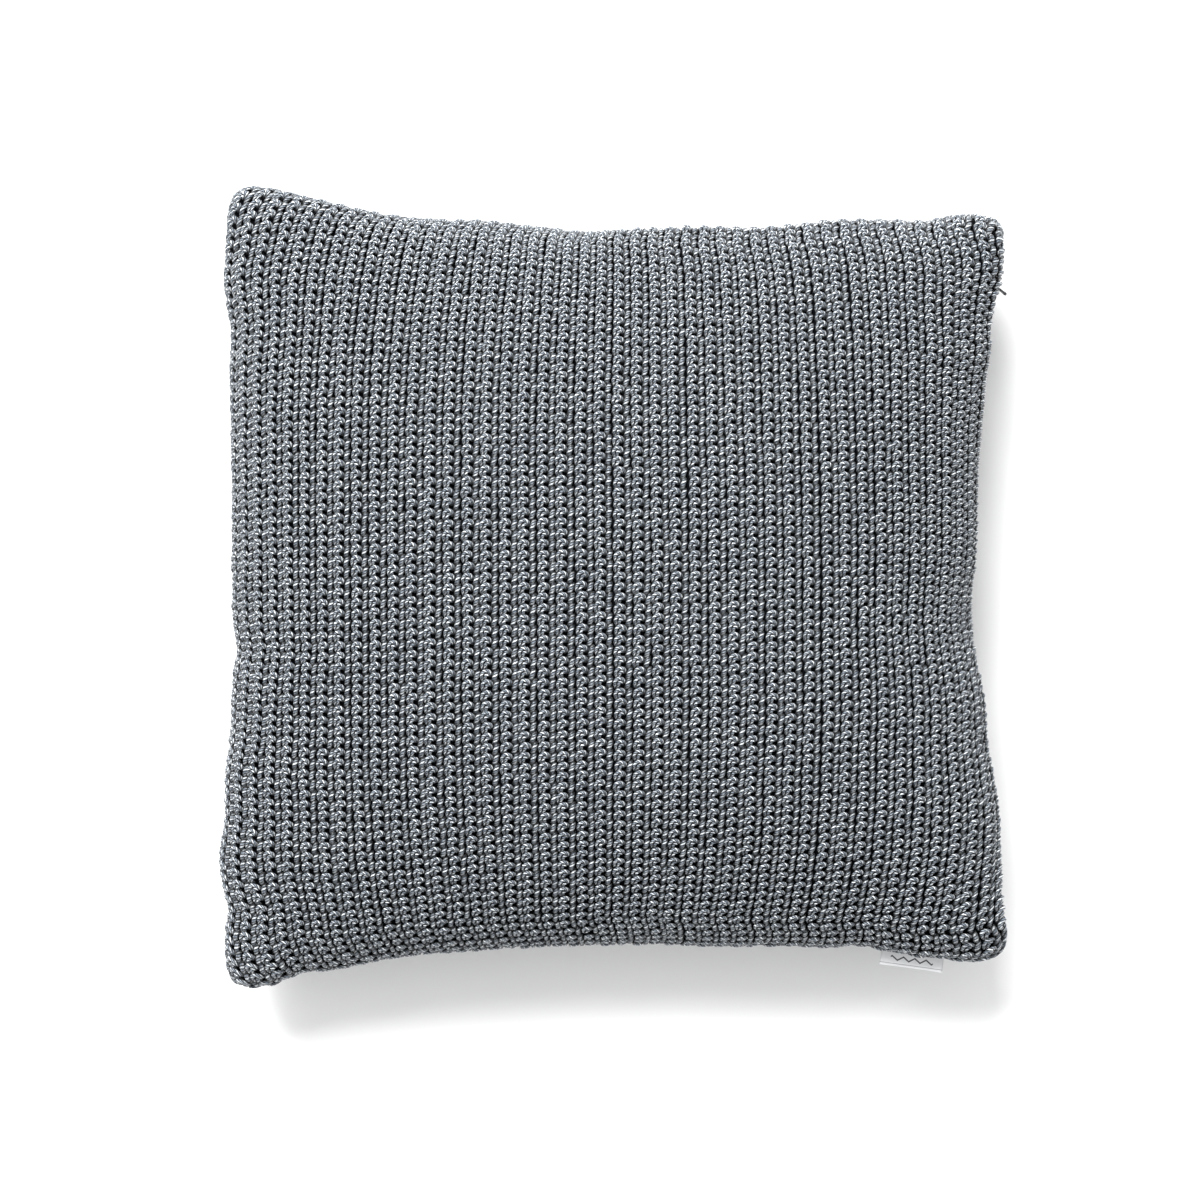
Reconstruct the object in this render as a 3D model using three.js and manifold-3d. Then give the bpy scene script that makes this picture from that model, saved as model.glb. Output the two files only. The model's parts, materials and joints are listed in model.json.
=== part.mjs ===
// Square scatter cushion: two crocheted panels joined by a seam cord and a side zip, around a fibre-filled
// inner cushion. Millimetres. It lies on its back: +Z comes out of its front, +Y is its top edge, and the zip is
// in the +X side. The origin is on the floor under the middle of its bounding box.
import * as THREE from 'three';
import { mergeVertices } from 'three/addons/utils/BufferGeometryUtils.js';
import Module from 'manifold-3d';

const wasm = await Module();
wasm.setup();

// ---- Driving dimensions ----
const HALF = 250; // half of the nominal side, which insets are scaled against
const SEAM_Z = 56; // height of the seam over the floor
const FRONT_RISE = 66; // how far the front panel domes over the seam
const BACK_DROP = 61; // how far the back panel would hang under the seam if the floor did not flatten it
const DOME_POWER = 2.2; // squareness of the dome in plan
const CORNER_ROUNDING = 0.035; // share of the half side that each corner is drawn in
const CORNER_SHARPNESS = 16;

const TOP_LEFT = new THREE.Vector2(-249, 265.6);
const BOTTOM_LEFT = new THREE.Vector2(-254.8, -264);
const TOP_Y = 245.5; // of the right-hand corners, which end the zip side's arc
const BOTTOM_Y = -TOP_Y;
const TOP_PULL = 27; // how far the middle of each side is drawn in by the filling
const BOTTOM_PULL = 27;
const LEFT_PULL = 7;
const PULL_POWER = 3;
const TOP_SKEW = -0.25; // moves the deepest point of a side towards its low end of X or Y
const LEFT_SKEW = 0.2; // and towards its high end

const PANEL = 5.5; // thickness of a crocheted panel
const PANEL_RIM = 1.7; // from the seam plane to the edge of each panel
const CORD_RADIUS = 1.4; // the cord that joins the panels
const CORD_INSET = 2.6;

const CASING_INSET = 14; // from the outside of the cover to the inner cushion
const CASING = 1.2;
const CASING_RIM = 0.9;
const CASING_CORD_RADIUS = 0.55;
const FILL_GAP = 1.4; // between the casing and the filling

const ZIP_RADIUS = 1150; // the zip side is one shallow arc, drawn in at its middle
const ZIP_APEX_X = 228;
const ZIP_APEX_Y = 10;
const CLOSED_Y = 193; // height along the side of the slider when the zip is closed
const OPEN_Y = -190;
const SLOT_HALF = 5; // the panels stand apart by twice this along the zip
const SLOT_DEPTH = 13;
const SLOT_PAST_TOP = 16; // the slot runs on past the closed slider, so that the pull can turn up
const SLOT_PAST_BOTTOM = 12;
const COIL_OUTER = 4; // insets of the coil's outer and inner face from the side's arc
const COIL_INNER = 7;
const COIL_NEAR = 0.65; // half of the gap between the rows of coil
const COIL_FAR = 3.1;
const TAPE_FRONT = 7.3;
const TAPE = 0.8;

const SLIDER_LENGTH = 10;
const SLIDER_WIDTH = 8.4;
const SLIDER_FOOT_WIDTH = 7.4;
const PLATE = 1.1;
const PLATE_CLEARANCE = 0.4;
const PIVOT_INSET = 1.2; // where the pull turns on the slider
const LUG_THICKNESS = 1.6;
const LUG_HOLE = 0.95;
const PIN_RADIUS = 0.55;
const PULL_LENGTH = 11.5;
const PULL_WIDTH = 5;
const PULL_THICKNESS = 1.2;
const PULL_REST = -38; // degrees from straight out of the side, at rest

const LABEL_X = 191;
const LABEL_WIDTH = 40;
const LABEL_REACH = 9.6;
const LABEL_LAYER = 0.45;
const LABEL_THICKNESS = 1.4;
const LABEL_STANDOFF = 0.8;
const LABEL_THREAD_IN = 0.1;

const COLOURS = { cord: 0x7b838c, lining: 0x11151b, tape: 0x1b1f25, coil: 0x15181d, metal: 0x3a3d42,
  label: 0xe6e7e8, fibre: 0xf1f1ee };

// ---- The outline: a Coons patch between four drawn-in sides ----
const zipCentre = new THREE.Vector2(ZIP_APEX_X + ZIP_RADIUS, ZIP_APEX_Y);
const zipAngle = (y) => Math.asin((y - ZIP_APEX_Y) / ZIP_RADIUS);
const zipX = (y) => zipCentre.x - ZIP_RADIUS * Math.cos(zipAngle(y));
const TOP_RIGHT = new THREE.Vector2(zipX(TOP_Y), TOP_Y);
const BOTTOM_RIGHT = new THREE.Vector2(zipX(BOTTOM_Y), BOTTOM_Y);

/** A side from a to b at t of -1 to 1, drawn in along (dx, dy), deepest a little off its middle. */
function side(a, b, pull, skew, dx, dy, t) {
  const draw = pull * (1 - Math.abs(t) ** PULL_POWER) * (1 + skew * t);
  const point = a.clone().lerp(b, (t + 1) / 2);
  return point.add(new THREE.Vector2(dx * draw, dy * draw));
}
const topSide = (t) => side(TOP_LEFT, TOP_RIGHT, TOP_PULL, TOP_SKEW, 0, -1, t);
const bottomSide = (t) => side(BOTTOM_LEFT, BOTTOM_RIGHT, BOTTOM_PULL, 0, 0, 1, t);
const leftSide = (t) => side(BOTTOM_LEFT, TOP_LEFT, LEFT_PULL, LEFT_SKEW, 1, 0, t);
function zipSide(t) {
  const y = THREE.MathUtils.lerp(BOTTOM_Y, TOP_Y, (t + 1) / 2);
  return new THREE.Vector2(zipX(y), y);
}

/** The place in plan of (u, v), each -1 to 1, on the outline drawn in by an inset. */
function plan(u0, v0, inset) {
  const u = u0 * (1 - CORNER_ROUNDING * Math.abs(v0) ** CORNER_SHARPNESS);
  const v = v0 * (1 - CORNER_ROUNDING * Math.abs(u0) ** CORNER_SHARPNESS);
  const [left, right, low, high] = [(1 - u) / 2, (1 + u) / 2, (1 - v) / 2, (1 + v) / 2];
  const point = new THREE.Vector2()
    .addScaledVector(bottomSide(u), low)
    .addScaledVector(topSide(u), high)
    .addScaledVector(leftSide(v), left)
    .addScaledVector(zipSide(v), right)
    .addScaledVector(BOTTOM_LEFT, -left * low)
    .addScaledVector(BOTTOM_RIGHT, -right * low)
    .addScaledVector(TOP_LEFT, -left * high)
    .addScaledVector(TOP_RIGHT, -right * high);
  return point.multiplyScalar(1 - inset / HALF);
}

// ---- Surfaces: every layer is a nested copy of the same two domes ----
const crown = (t) => Math.sqrt(Math.max(0, 1 - Math.abs(t) ** DOME_POWER));

const frontSurface = (inset, rim) => (u, v) => {
  const at = plan(u, v, inset);
  return new THREE.Vector3(at.x, at.y, SEAM_Z + rim + (FRONT_RISE - inset) * crown(u) * crown(v));
};

const backSurface = (inset, rim) => (u, v) => {
  const at = plan(u, v, inset);
  const hanging = SEAM_Z - rim - (BACK_DROP - inset) * crown(u) * crown(v);
  return new THREE.Vector3(at.x, at.y, Math.max(inset, hanging));
};

/** Rows of u or v over a whole panel, closer together near its edges, where it curves most. */
const wholePanel = (cells) => Array.from({ length: cells + 1 },
  (_, i) => Math.sin((Math.PI / 2) * ((2 * i) / cells - 1)));
const evenly = (from, to, cells) => Array.from({ length: cells + 1 },
  (_, i) => THREE.MathUtils.lerp(from, to, i / cells));

/** The closed solid between an upper and a lower surface, over a grid of us by vs. */
function between(upper, lower, us, vs) {
  const positions = [];
  const indices = [];
  const across = us.length;
  const upperAt = (i, j) => j * across + i;
  const lowerAt = (i, j) => us.length * vs.length + upperAt(i, j);
  for (const surface of [upper, lower]) {
    for (const v of vs) {
      for (const u of us) positions.push(...surface(u, v).toArray());
    }
  }
  const quad = (a, b, c, d) => indices.push(a, b, c, a, c, d);
  for (let j = 0; j + 1 < vs.length; j++) {
    for (let i = 0; i + 1 < across; i++) {
      quad(upperAt(i, j), upperAt(i + 1, j), upperAt(i + 1, j + 1), upperAt(i, j + 1));
      quad(lowerAt(i, j), lowerAt(i, j + 1), lowerAt(i + 1, j + 1), lowerAt(i + 1, j));
    }
  }
  const [right, top] = [across - 1, vs.length - 1];
  for (let i = 0; i < right; i++) {
    quad(lowerAt(i, 0), lowerAt(i + 1, 0), upperAt(i + 1, 0), upperAt(i, 0));
    quad(upperAt(i, top), upperAt(i + 1, top), lowerAt(i + 1, top), lowerAt(i, top));
  }
  for (let j = 0; j < top; j++) {
    quad(upperAt(0, j), upperAt(0, j + 1), lowerAt(0, j + 1), lowerAt(0, j));
    quad(lowerAt(right, j), lowerAt(right, j + 1), upperAt(right, j + 1), upperAt(right, j));
  }
  const geometry = new THREE.BufferGeometry();
  geometry.setAttribute('position', new THREE.Float32BufferAttribute(positions, 3));
  geometry.setIndex(indices);
  return geometry;
}

function shell(upper, lower, cells) {
  return between(upper, lower, wholePanel(cells), wholePanel(cells));
}

/** A closed bar through rings of points that all have the same section, with flat ends. */
function loft(rings, section) {
  const around = section.length;
  const last = (rings.length - 1) * around;
  const indices = [];
  for (let start = 0; start < last; start += around) {
    for (let i = 0; i < around; i++) {
      const [a, b] = [start + i, start + ((i + 1) % around)];
      indices.push(a, b, b + around, a, b + around, a + around);
    }
  }
  const faces = THREE.ShapeUtils.triangulateShape(section.map(([x, y]) => new THREE.Vector2(x, y)), []);
  for (const [a, b, c] of faces) indices.push(c, b, a, last + a, last + b, last + c);
  const geometry = new THREE.BufferGeometry();
  geometry.setAttribute('position',
    new THREE.Float32BufferAttribute(rings.flat().flatMap((point) => point.toArray()), 3));
  geometry.setIndex(indices);
  return geometry;
}

// ---- Joining and cutting ----
function toManifold(geometry) {
  const bare = geometry.clone();
  bare.deleteAttribute('normal');
  bare.deleteAttribute('uv');
  const merged = mergeVertices(bare, 1e-4);
  return new wasm.Manifold(new wasm.Mesh({
    numProp: 3,
    vertProperties: Float32Array.from(merged.attributes.position.array),
    triVerts: Uint32Array.from(merged.index.array),
  }));
}

function fromManifold(solid) {
  const mesh = solid.getMesh();
  const geometry = new THREE.BufferGeometry();
  geometry.setAttribute('position', new THREE.Float32BufferAttribute(mesh.vertProperties, 3));
  geometry.setIndex(Array.from(mesh.triVerts));
  return geometry;
}

const join = (...pieces) => fromManifold(pieces.map(toManifold).reduce((a, b) => a.add(b)));
const cut = (piece, cutter) => fromManifold(toManifold(piece).subtract(toManifold(cutter)));

// ---- The zip side ----
const ARC_PER_MM = 1 / ZIP_RADIUS;
const CLOSED_ANGLE = zipAngle(CLOSED_Y);
const OPEN_ANGLE = zipAngle(OPEN_Y);
const SLOT_TOP = CLOSED_ANGLE + SLOT_PAST_TOP * ARC_PER_MM;
const SLOT_BOTTOM = OPEN_ANGLE - SLOT_PAST_BOTTOM * ARC_PER_MM;

/** A bar along the zip's arc, from one angle to another. Its section is [inset, height over the seam] points. */
function zipBar(section, fromAngle, toAngle, steps) {
  const rings = evenly(fromAngle, toAngle, steps).map((angle) => section.map(([inset, height]) => {
    const radius = ZIP_RADIUS + inset;
    return new THREE.Vector3(zipCentre.x - radius * Math.cos(angle), zipCentre.y + radius * Math.sin(angle),
      SEAM_Z + height);
  }));
  return loft(rings, section);
}

/** A section's points in the order that makes a bar's faces point out. */
function outward(section) {
  const area = THREE.ShapeUtils.area(section.map(([x, y]) => new THREE.Vector2(x, y)));
  return area > 0 ? section : [...section].reverse();
}
const mirrored = (section) => section.map(([inset, height]) => [inset, -height]);
const box = (inset0, inset1, height0, height1) => [
  [inset0, height0], [inset1, height0], [inset1, height1], [inset0, height1]];

/** A box section with its corners taken off. */
function roundedBox(inset0, inset1, height0, height1, corner) {
  return [
    [inset0 + corner, height0], [inset1 - corner, height0], [inset1, height0 + corner],
    [inset1, height1 - corner], [inset1 - corner, height1], [inset0 + corner, height1],
    [inset0, height1 - corner], [inset0, height0 + corner],
  ];
}

const zipSlot = () => zipBar(outward(box(-2 * SLOT_DEPTH, SLOT_DEPTH, -SLOT_HALF, SLOT_HALF)),
  SLOT_BOTTOM, SLOT_TOP, 30);

const COIL_ENDS = SLIDER_LENGTH / 2 + 0.3; // how far the coil runs past the slider's middle at each end
const STOP_GAP = 0.3;
const TOP_STOP_LENGTH = 2;
const BOTTOM_STOP_LENGTH = 3;
const TAPE_PAST_STOPS = 2;
const COIL_TOP = CLOSED_ANGLE + COIL_ENDS * ARC_PER_MM;
const COIL_BOTTOM = OPEN_ANGLE - COIL_ENDS * ARC_PER_MM;
const STOP_TOP = COIL_TOP + (STOP_GAP + TOP_STOP_LENGTH) * ARC_PER_MM;
const STOP_BOTTOM = COIL_BOTTOM - (STOP_GAP + BOTTOM_STOP_LENGTH) * ARC_PER_MM;
const TAPE_TOP = STOP_TOP + TAPE_PAST_STOPS * ARC_PER_MM;
const TAPE_BOTTOM = STOP_BOTTOM - TAPE_PAST_STOPS * ARC_PER_MM;

const coilSection = roundedBox(COIL_OUTER, COIL_INNER, COIL_NEAR, COIL_FAR, 0.6);
// The tape stands behind the coil, then turns in along the inside of the panel.
const TAPE_BEND = 4.4;
const TAPE_END = [13.5, 8];
const tapeSection = [
  [TAPE_FRONT, COIL_NEAR], [TAPE_FRONT, TAPE_BEND], TAPE_END,
  [TAPE_END[0] + 0.6, TAPE_END[1] - 0.7], [TAPE_FRONT + TAPE, TAPE_BEND - 0.3], [TAPE_FRONT + TAPE, COIL_NEAR],
];
const THREAD_AT = [13, 5.8];
const THREAD_RADIUS = 0.35;
const threadSection = Array.from({ length: 6 }, (_, i) => [
  THREAD_AT[0] + THREAD_RADIUS * Math.cos((i * Math.PI) / 3),
  THREAD_AT[1] + THREAD_RADIUS * Math.sin((i * Math.PI) / 3)]);

const zipCoil = (section) => zipBar(outward(section), COIL_BOTTOM, COIL_TOP, 30);
const zipTape = (section) => zipBar(outward(section), TAPE_BOTTOM, TAPE_TOP, 24);
const zipThread = (section) => zipBar(outward(section), TAPE_BOTTOM, TAPE_TOP, 24);
const topStop = (section) => zipBar(outward(section), COIL_TOP + STOP_GAP * ARC_PER_MM, STOP_TOP, 2);
const bottomStop = () => zipBar(outward(roundedBox(COIL_OUTER, COIL_INNER, -COIL_FAR, COIL_FAR, 0.8)),
  STOP_BOTTOM, COIL_BOTTOM - STOP_GAP * ARC_PER_MM, 2);

/** A block with its lowest and highest corners. */
function block(x0, x1, y0, y1, z0, z1) {
  return new THREE.BoxGeometry(x1 - x0, y1 - y0, z1 - z0)
    .translate((x0 + x1) / 2, (y0 + y1) / 2, (z0 + z1) / 2);
}

/** An outline of [y, z] points as a plate from x0 to x1. */
function plate(outline, x0, x1) {
  const shape = new THREE.Shape(outline.map(([y, z]) => new THREE.Vector2(y, z)));
  return new THREE.ExtrudeGeometry(shape, { depth: x1 - x0, bevelEnabled: false })
    .applyMatrix4(new THREE.Matrix4().set(0, 0, 1, x0, 1, 0, 0, 0, 0, 1, 0, 0, 0, 0, 0, 1));
}

/** The slider, with x out of the side, y up the seam and its place on the arc at x = 0. */
function sliderGeometry() {
  const outside = -COIL_OUTER + PLATE_CLEARANCE;
  const inside = -TAPE_FRONT - TAPE - 0.3;
  const half = SLIDER_LENGTH / 2;
  const head = SLIDER_WIDTH / 2;
  const foot = SLIDER_FOOT_WIDTH / 2;
  const shield = [[half - 1, -head], [half, -head + 1.4], [half, head - 1.4], [half - 1, head],
    [0, head], [-half, foot], [-half, -foot], [0, -head]];
  const innerHalf = TAPE_BEND - 0.8;
  const innerPlate = [[half, -innerHalf], [half, innerHalf], [-half, innerHalf], [-half, -innerHalf]];
  const lipFrom = COIL_FAR + 0.35;
  const lipTo = foot + 0.2;
  const lugTop = -PIVOT_INSET + LUG_HOLE + 0.75;
  const lug = new THREE.Shape();
  lug.moveTo(-3.4, outside + PLATE - 0.2);
  lug.lineTo(3.4, outside + PLATE - 0.2);
  lug.quadraticCurveTo(2.6, lugTop, 0, lugTop);
  lug.quadraticCurveTo(-2.6, lugTop, -3.4, outside + PLATE - 0.2);
  const eye = new THREE.Path();
  eye.absarc(0, -PIVOT_INSET, LUG_HOLE, 0, 2 * Math.PI, true);
  lug.holes.push(eye);
  const lugSolid = new THREE.ExtrudeGeometry(lug, { depth: LUG_THICKNESS, bevelEnabled: false, curveSegments: 8 })
    .translate(0, 0, -LUG_THICKNESS / 2)
    .applyMatrix4(new THREE.Matrix4().set(0, 1, 0, 0, 1, 0, 0, 0, 0, 0, -1, 0, 0, 0, 0, 1));
  return join(
    plate(shield, outside, outside + PLATE),
    plate(innerPlate, inside - PLATE, inside),
    block(inside - 0.2, outside + 0.2, half - 3.6, half - 0.6, -0.35, 0.35),
    block(outside - 2.6, outside + 0.2, -half, half - 2, lipFrom, lipTo),
    block(outside - 2.6, outside + 0.2, -half, half - 2, -lipTo, -lipFrom),
    lugSolid,
  );
}

/** The pull, with x along it and its pivot at the origin: two arms and a pin round the lug, then a flat tab. */
function pullGeometry() {
  const half = PULL_WIDTH / 2;
  const window = LUG_HOLE + 2.1;
  const tab = new THREE.Shape();
  tab.moveTo(-PIN_RADIUS - 0.3, -half + 0.3);
  tab.lineTo(window, -half + 0.3);
  tab.lineTo(window + 2, -half + 0.8);
  tab.lineTo(PULL_LENGTH - 2, -half);
  tab.quadraticCurveTo(PULL_LENGTH, -half, PULL_LENGTH, 0);
  tab.quadraticCurveTo(PULL_LENGTH, half, PULL_LENGTH - 2, half);
  tab.lineTo(window + 2, half - 0.8);
  tab.lineTo(window, half - 0.3);
  tab.lineTo(-PIN_RADIUS - 0.3, half - 0.3);
  const inner = LUG_THICKNESS / 2 + 0.35;
  const gapShape = new THREE.Path([[PIN_RADIUS, -inner], [PIN_RADIUS, inner], [window, inner], [window, -inner]]
    .map(([x, y]) => new THREE.Vector2(x, y)));
  tab.holes.push(gapShape);
  const standUp = new THREE.Matrix4().makeRotationX(Math.PI / 2);
  const flat = new THREE.ExtrudeGeometry(tab, { depth: PULL_THICKNESS, bevelEnabled: false, curveSegments: 5 })
    .translate(0, 0, -PULL_THICKNESS / 2)
    .applyMatrix4(standUp);
  const behindPin = block(-2, -PIN_RADIUS, -PULL_THICKNESS, PULL_THICKNESS, -inner, inner);
  const squarePin = block(-PIN_RADIUS, PIN_RADIUS, -PULL_THICKNESS, PULL_THICKNESS, -inner, inner);
  const pin = new THREE.CylinderGeometry(PIN_RADIUS, PIN_RADIUS, 2 * inner + 1, 12).applyMatrix4(standUp);
  const grip = new THREE.CapsuleGeometry(1, PULL_WIDTH - 3, 3, 10).applyMatrix4(standUp)
    .translate(PULL_LENGTH - 1.2, 0, 0);
  return join(cut(cut(flat, behindPin), squarePin), pin, grip);
}

// ---- The cord round the seam ----
/** A round cord along the outline, anticlockwise, between two perimeters of 0 to 5 sides from the lower right. */
function outlineCord(inset, radius, from, to, stepsPerSide, sides) {
  const corners = [[1, -1], [1, 1], [-1, 1], [-1, -1], [1, -1], [1, 1]];
  const at = (perimeter) => {
    const leg = Math.min(Math.floor(perimeter), corners.length - 2);
    const share = perimeter - leg;
    const [[u0, v0], [u1, v1]] = [corners[leg], corners[leg + 1]];
    return plan(THREE.MathUtils.lerp(u0, u1, share), THREE.MathUtils.lerp(v0, v1, share), inset);
  };
  const wholes = Array.from({ length: Math.ceil(to) * stepsPerSide }, (_, i) => i / stepsPerSide);
  const stops = [from, ...wholes.filter((stop) => stop > from + 0.01 && stop < to - 0.01), to];
  const section = Array.from({ length: sides }, (_, i) => {
    const turn = (i * 2 * Math.PI) / sides;
    return [radius * Math.cos(turn), radius * Math.sin(turn)];
  });
  const rings = stops.map((stop) => {
    const here = at(stop);
    const along = at(Math.min(stop + 0.01, to)).sub(at(Math.max(stop - 0.01, from))).normalize();
    return section.map(([up, out]) => new THREE.Vector3(here.x + out * along.y, here.y - out * along.x,
      SEAM_Z + up));
  });
  return loft(rings, section);
}

/** How far up the zip side, from 0 to 1, an inset outline reaches a Y. */
const sideShare = (y, inset) => (1 + y / TOP_Y / (1 - CORNER_ROUNDING) / (1 - inset / HALF)) / 2;
const SEAM_CLEAR = 3;
const slotTopY = ZIP_APEX_Y + ZIP_RADIUS * Math.sin(SLOT_TOP) + SEAM_CLEAR;
const slotBottomY = ZIP_APEX_Y + ZIP_RADIUS * Math.sin(SLOT_BOTTOM) - SEAM_CLEAR;

// ---- Labels ----
/** The place of an X along the bottom side, and the side's direction there. */
function onBottom(x) {
  const share = (at) => (at - BOTTOM_LEFT.x) / (BOTTOM_RIGHT.x - BOTTOM_LEFT.x);
  const here = bottomSide(2 * share(x) - 1);
  const along = bottomSide(2 * share(x + 10) - 1).sub(bottomSide(2 * share(x - 10) - 1));
  return { at: here, turn: Math.atan2(along.y, along.x) };
}

/** Two layers of ribbon folded at the free end, with x along the seam and -y out of it. */
function sideLabelGeometry() {
  const half = LABEL_THICKNESS / 2;
  const outline = [[0, -half], [LABEL_REACH - 0.4, -half], [LABEL_REACH, -half + 0.4], [LABEL_REACH, half - 0.4],
    [LABEL_REACH - 0.4, half], [0, half], [0, half - LABEL_LAYER],
    [LABEL_REACH - 0.6, half - LABEL_LAYER], [LABEL_REACH - 0.6, -half + LABEL_LAYER], [0, -half + LABEL_LAYER]];
  return new THREE.ExtrudeGeometry(new THREE.Shape(outline.map(([out, z]) => new THREE.Vector2(out, z))),
    { depth: LABEL_WIDTH, bevelEnabled: false })
    .applyMatrix4(new THREE.Matrix4().set(0, 0, -1, LABEL_WIDTH / 2, -1, 0, 0, 0, 0, 1, 0, 0, 0, 0, 0, 1));
}

function labelThreadGeometry() {
  return new THREE.CylinderGeometry(THREAD_RADIUS - 0.05, THREAD_RADIUS - 0.05, LABEL_WIDTH - 4, 6)
    .rotateZ(Math.PI / 2);
}

/** A folded care label that lies against the inside of the back panel at the left seam. */
function careLabelGeometry() {
  const vs = evenly(-0.34, -0.22, 3);
  const us = evenly(-0.99, -0.84, 6);
  return between(backSurface(9.7, PANEL_RIM), backSurface(8.5, PANEL_RIM), us, vs);
}

// ---- Assembly ----
const cushion = new THREE.Group();

function add(name, geometry, colour, roughness, metalness = 0, parent = cushion) {
  const mesh = new THREE.Mesh(geometry, new THREE.MeshStandardMaterial({ color: colour, roughness, metalness }));
  mesh.name = name;
  parent.add(mesh);
  return mesh;
}

const panelCells = 20;
const slot = zipSlot();
add('cover_front', cut(shell(frontSurface(0, PANEL_RIM), frontSurface(PANEL, PANEL_RIM), panelCells), slot),
  COLOURS.cord, 0.75);
add('cover_back', cut(shell(backSurface(PANEL, PANEL_RIM), backSurface(0, PANEL_RIM), panelCells), slot),
  COLOURS.cord, 0.75);
const cordFrom = sideShare(slotTopY, CORD_INSET);
const cordTo = 4 + sideShare(slotBottomY, CORD_INSET);
add('seam_cord', outlineCord(CORD_INSET, CORD_RADIUS, cordFrom, cordTo, 22, 8), COLOURS.cord, 0.75);

const casingCells = 12;
const casingIn = CASING_INSET + CASING;
const fillInset = casingIn + FILL_GAP;
add('inner_casing_front',
  shell(frontSurface(CASING_INSET, CASING_RIM), frontSurface(casingIn, CASING_RIM), casingCells),
  COLOURS.lining, 0.9);
add('inner_casing_back',
  shell(backSurface(casingIn, CASING_RIM), backSurface(CASING_INSET, CASING_RIM), casingCells),
  COLOURS.lining, 0.9);
add('inner_casing_seam', outlineCord(CASING_INSET + CASING / 2, CASING_CORD_RADIUS, 0.02, 3.98, 18, 6),
  COLOURS.lining, 0.9);
add('fibre_filling', shell(frontSurface(fillInset, CASING_RIM), backSurface(fillInset, CASING_RIM), casingCells),
  COLOURS.fibre, 1);

for (const [where, facing] of [['front', (s) => s], ['back', mirrored]]) {
  add(`zip_coil_${where}`, zipCoil(facing(coilSection)), COLOURS.coil, 0.45);
  add(`zip_tape_${where}`, zipTape(facing(tapeSection)), COLOURS.tape, 0.85);
  add(`zip_stitching_${where}`, zipThread(facing(threadSection)), COLOURS.tape, 0.8);
  add(`zip_top_stop_${where}`, topStop(facing(coilSection)), COLOURS.metal, 0.35, 1);
}
add('zip_bottom_stop', bottomStop(), COLOURS.metal, 0.35, 1);

const carriage = new THREE.Group();
carriage.position.set(zipCentre.x - ZIP_RADIUS * Math.cos(CLOSED_ANGLE), CLOSED_Y, SEAM_Z);
carriage.rotation.z = -CLOSED_ANGLE;
cushion.add(carriage);
add('zip_slider', sliderGeometry(), COLOURS.metal, 0.35, 1, carriage);
const pull = add('zip_pull', pullGeometry(), COLOURS.metal, 0.35, 1, carriage);
pull.position.x = -PIVOT_INSET;
pull.rotation.z = THREE.MathUtils.degToRad(PULL_REST) + CLOSED_ANGLE;

const labelPlace = onBottom(LABEL_X);
const labelGroup = new THREE.Group();
labelGroup.position.set(labelPlace.at.x, labelPlace.at.y, SEAM_Z);
labelGroup.rotation.z = labelPlace.turn;
cushion.add(labelGroup);
const sideLabel = add('side_label', sideLabelGeometry(), COLOURS.label, 0.8, 0, labelGroup);
sideLabel.position.y = -LABEL_STANDOFF;
const labelThread = add('label_stitching', labelThreadGeometry(), COLOURS.label, 0.8, 0, labelGroup);
labelThread.position.y = LABEL_THREAD_IN;
add('care_label', careLabelGeometry(), COLOURS.label, 0.8);

export default cushion;
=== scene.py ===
"""Square scatter cushion in a crocheted cover, lying on its back, with its zip and labels.

The cover is modelled stitch by stitch: every stitch is a few short lengths of twisted cord, laid on the
surface of the filled cushion. That surface is a crowned form blown up by Blender's cloth simulation.
Lengths are millimetres until a mesh is made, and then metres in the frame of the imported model.
"""
import json
import math

import bpy
import numpy as np
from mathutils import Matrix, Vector


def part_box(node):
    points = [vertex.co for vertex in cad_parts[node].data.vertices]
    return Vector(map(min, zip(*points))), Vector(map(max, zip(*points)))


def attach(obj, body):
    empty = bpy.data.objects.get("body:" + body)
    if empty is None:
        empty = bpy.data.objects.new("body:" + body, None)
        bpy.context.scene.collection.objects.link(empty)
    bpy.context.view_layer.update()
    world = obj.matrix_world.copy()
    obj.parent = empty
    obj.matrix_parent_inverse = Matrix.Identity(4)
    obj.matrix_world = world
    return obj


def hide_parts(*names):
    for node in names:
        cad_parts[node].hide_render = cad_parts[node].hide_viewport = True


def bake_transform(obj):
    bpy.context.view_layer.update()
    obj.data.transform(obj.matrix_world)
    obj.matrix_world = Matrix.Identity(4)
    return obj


MM = 0.001

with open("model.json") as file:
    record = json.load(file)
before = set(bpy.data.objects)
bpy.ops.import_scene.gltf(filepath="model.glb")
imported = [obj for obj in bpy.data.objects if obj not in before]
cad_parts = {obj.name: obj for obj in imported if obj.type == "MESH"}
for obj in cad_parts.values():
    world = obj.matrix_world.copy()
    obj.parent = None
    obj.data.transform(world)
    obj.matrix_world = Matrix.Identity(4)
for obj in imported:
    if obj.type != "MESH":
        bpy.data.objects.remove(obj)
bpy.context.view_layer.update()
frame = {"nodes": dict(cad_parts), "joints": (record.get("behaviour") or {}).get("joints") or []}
joints = {joint["name"]: joint for joint in frame["joints"]}


def box_mm(node):
    """The lowest and highest corner of a CAD node, in millimetres."""
    return [np.array(corner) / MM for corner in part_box(node)]


# ---- Driving dimensions ----
SEAM_Z = sum(corner[2] for corner in box_mm("seam_cord")) / 2
FRONT_TOP = box_mm("cover_front")[1][2]

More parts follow.
